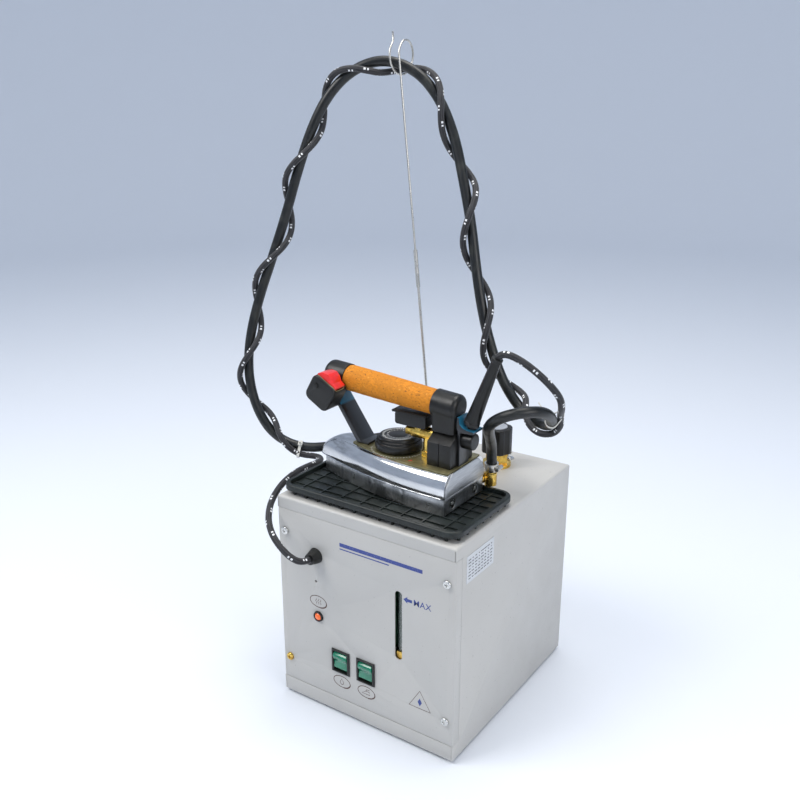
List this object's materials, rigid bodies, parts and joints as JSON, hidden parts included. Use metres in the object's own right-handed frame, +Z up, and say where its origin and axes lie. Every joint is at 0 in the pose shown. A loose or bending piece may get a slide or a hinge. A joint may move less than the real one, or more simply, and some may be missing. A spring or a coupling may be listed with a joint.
{
  "type": "steam generator iron",
  "caption": "Table-top steam generator: sheet-metal boiler cabinet, rubber iron rest, cork-handled steam iron, twisted hose and cable held up by a sprung rod.",
  "frame": {"origin": "centre of the cabinet's footprint, on the surface that its feet stand on", "axes": "+Z up, -Y out of the front panel, +X to the right of somebody facing the panel"},
  "size_m": [0.4398, 0.3362, 0.7693],
  "materials": {
    "cabinet_paint": "light warm grey powder coat, satin",
    "screw_steel": "bright zinc-plated steel",
    "brass": "machined brass, slightly dull",
    "rubber_black": "moulded rubber, greenish black",
    "plastic_black": "satin black moulding",
    "switch_green": "translucent green rocker",
    "lamp_orange": "orange lens",
    "gauge_clear": "clear gauge glass",
    "gauge_dark": "dark green backing",
    "printed_silver": "printed silver foil",
    "boiler_steel": "rolled stainless steel",
    "spring_steel": "bright drawn steel",
    "polished_aluminium": "polished casting",
    "sole_aluminium": "used, stained casting",
    "cork": "pressed cork with dark flecks",
    "bracket_blue": "dark blue-green enamel",
    "button_red": "glossy red",
    "hose_rubber": "smooth black hose",
    "cable_braid": "black braid with white flecks",
    "tie_white": "white nylon"
  },
  "bodies": {
    "cabinet": {"cover_shell": "cabinet_paint", "base_pan": "cabinet_paint", "front_panel": "cabinet_paint", "rear_panel": "cabinet_paint", "corner_posts": "cabinet_paint", "panel_screws": "screw_steel", "eye_screw": "screw_steel", "brass_panel_screw": "brass", "gauge_unions": "brass", "steam_outlet": "brass", "drain_valve_body": "brass", "filler_neck": "brass", "heating_element": "brass", "rubber_feet": "rubber_black", "iron_rest": "rubber_black", "left_switch_housing": "plastic_black", "right_switch_housing": "plastic_black", "pilot_lamp_bezel": "plastic_black", "cable_gland": "plastic_black", "pressure_switch": "plastic_black", "mains_inlet": "plastic_black", "pilot_lamp_lens": "lamp_orange", "gauge_glass": "gauge_clear", "gauge_backing": "gauge_dark", "rating_plate": "printed_silver", "boiler_tank": "boiler_steel", "antenna_rod": "spring_steel", "antenna_socket": "spring_steel", "steam_hose": "hose_rubber", "iron_cable": "cable_braid", "zip_ties": "tie_white"},
    "left_rocker": {"left_switch_rocker": "switch_green"},
    "right_rocker": {"right_switch_rocker": "switch_green"},
    "cap_plug": {"filler_cap_plug": "brass"},
    "cap_knob": {"filler_cap_knob": "plastic_black", "filler_cap_disc": "printed_silver"},
    "drain_lever": {"drain_valve_lever": "plastic_black"},
    "iron": {"soleplate": "sole_aluminium", "iron_cover": "polished_aluminium", "top_plate": "polished_aluminium", "heel_plate": "polished_aluminium", "heel_screws": "screw_steel", "thermostat_body": "boiler_steel", "front_bracket": "bracket_blue", "rear_bracket": "bracket_blue", "handle_grip": "cork", "handle_core": "spring_steel", "front_handle_cap": "plastic_black", "switch_housing": "plastic_black", "microswitch": "plastic_black", "rear_handle_cap": "plastic_black", "terminal_box": "plastic_black", "cable_clamp": "plastic_black", "cable_boot": "plastic_black", "solenoid_coil": "plastic_black", "solenoid_valve": "brass", "hose_elbow": "brass", "hose_clamp": "spring_steel"},
    "dial": {"thermostat_dial": "plastic_black"},
    "button": {"steam_button": "button_red"}
  },
  "joints": [
    {"name": "left_switch", "type": "hinge", "parent": "cabinet", "child": "left_rocker", "pos_m": [-0.0327, -0.1335, 0.0736], "axis": [1, 0, 0], "range_deg": [-18, 0]},
    {"name": "right_switch", "type": "hinge", "parent": "cabinet", "child": "right_rocker", "pos_m": [0.003, -0.1335, 0.0736], "axis": [1, 0, 0], "range_deg": [-18, 0]},
    {"name": "cap_lift", "type": "slide", "parent": "cabinet", "child": "cap_plug", "axis": [0, 0, 1], "range_m": [0, 0.004]},
    {"name": "cap_turn", "type": "hinge", "parent": "cap_plug", "child": "cap_knob", "pos_m": [0.045, 0.084, 0.3], "axis": [0, 0, 1], "range_deg": [0, 722]},
    {"name": "drain_turn", "type": "hinge", "parent": "cabinet", "child": "drain_lever", "pos_m": [0, 0.143, 0.08], "axis": [0, 0, 1], "range_deg": [0, 90]},
    {"name": "iron_lift", "type": "slide", "parent": "cabinet", "child": "iron", "axis": [0, 0, 1], "range_m": [0, 0.05], "deforming": ["steam_hose", "iron_cable"]},
    {"name": "dial_turn", "type": "hinge", "parent": "iron", "child": "dial", "pos_m": [-0.007, -0.054, 0.33], "axis": [0, 0, 1], "range_deg": [-270, 0]},
    {"name": "button_press", "type": "hinge", "parent": "iron", "child": "button", "pos_m": [-0.09437, -0.0816, 0.39959], "axis": [0, 1, 0], "range_deg": [0, 6], "stiffness_Nm_per_rad": 0.2, "springref_deg": -6.88}
  ],
  "couplings": [
    {"joint": "cap_turn", "follows": "cap_lift", "rad_per_m": 3141.6}
  ]
}
